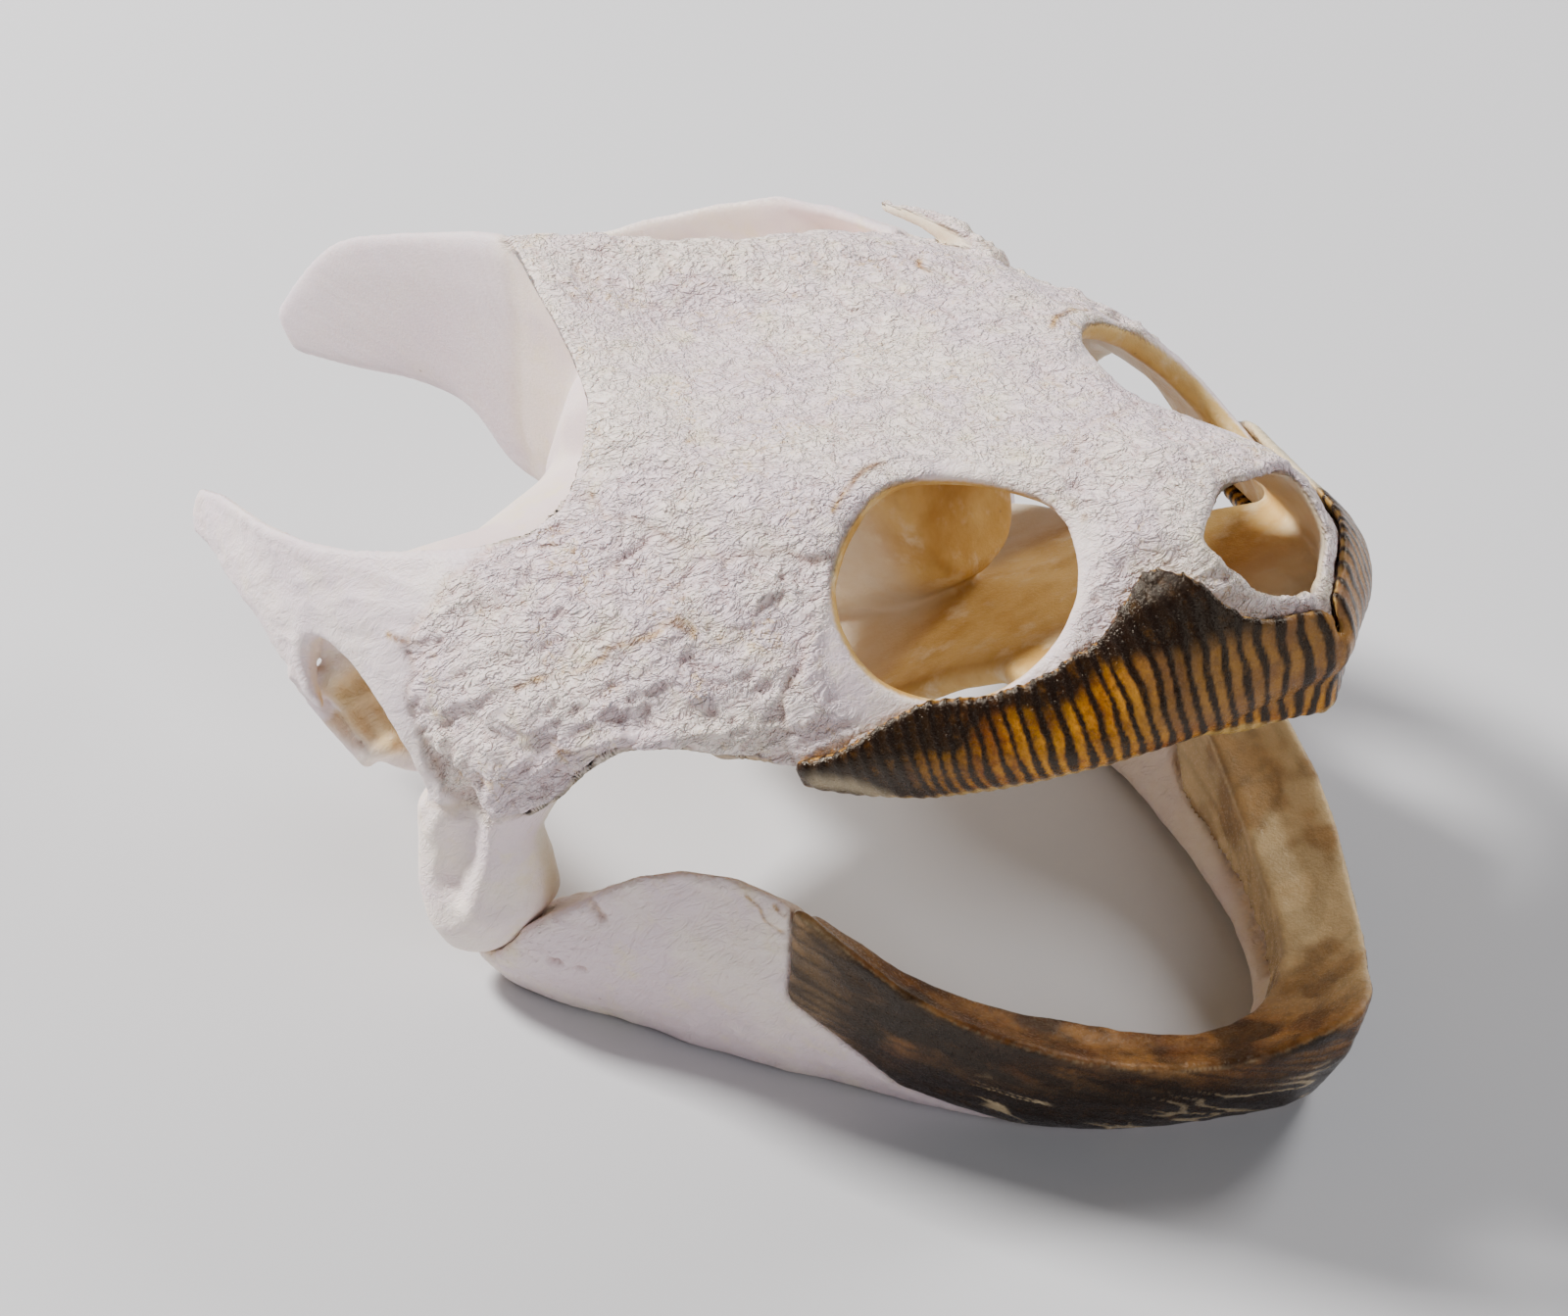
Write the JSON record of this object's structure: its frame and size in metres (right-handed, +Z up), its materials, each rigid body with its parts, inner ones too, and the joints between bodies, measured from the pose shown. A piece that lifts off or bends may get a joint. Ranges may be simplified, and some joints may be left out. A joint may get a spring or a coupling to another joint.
{
  "type": "snapping turtle skull",
  "caption": "Skull of a large snapping turtle with its jaws agape: roofed cranium with a rear crest, horn beak sheaths and the lower jaw it rests on.",
  "frame": {"origin": "centre of the bounding box in plan, on the ground that the lower jaw rests on", "axes": "+X to the snout, +Y to the animal's left, +Z up; the cranium is tipped back 27.6 degrees about the jaw hinge"},
  "size_m": [0.1504, 0.0942, 0.0759],
  "materials": {
    "bone": "dry cleaned bone, pitted and slightly rough",
    "inner_bone": "ochre bone inside the openings, matt",
    "crest_bone": "thin smooth bone with fine striae",
    "horn": "dry horn, brown to amber with dark streaks, glossy"
  },
  "bodies": {
    "root": {"cranium_roof": "bone", "snout": "bone", "squamosal_left": "bone", "squamosal_right": "bone", "cheek_left": "bone", "cheek_right": "bone", "maxilla_left": "bone", "maxilla_right": "bone", "quadrate_left": "bone", "quadrate_right": "bone", "braincase": "inner_bone", "palate": "inner_bone", "supraoccipital_crest": "crest_bone", "beak_upper": "horn", "beak_lower": "horn", "dentary": "bone", "jaw_rear_left": "bone", "jaw_rear_right": "bone"}
  },
  "joints": []
}
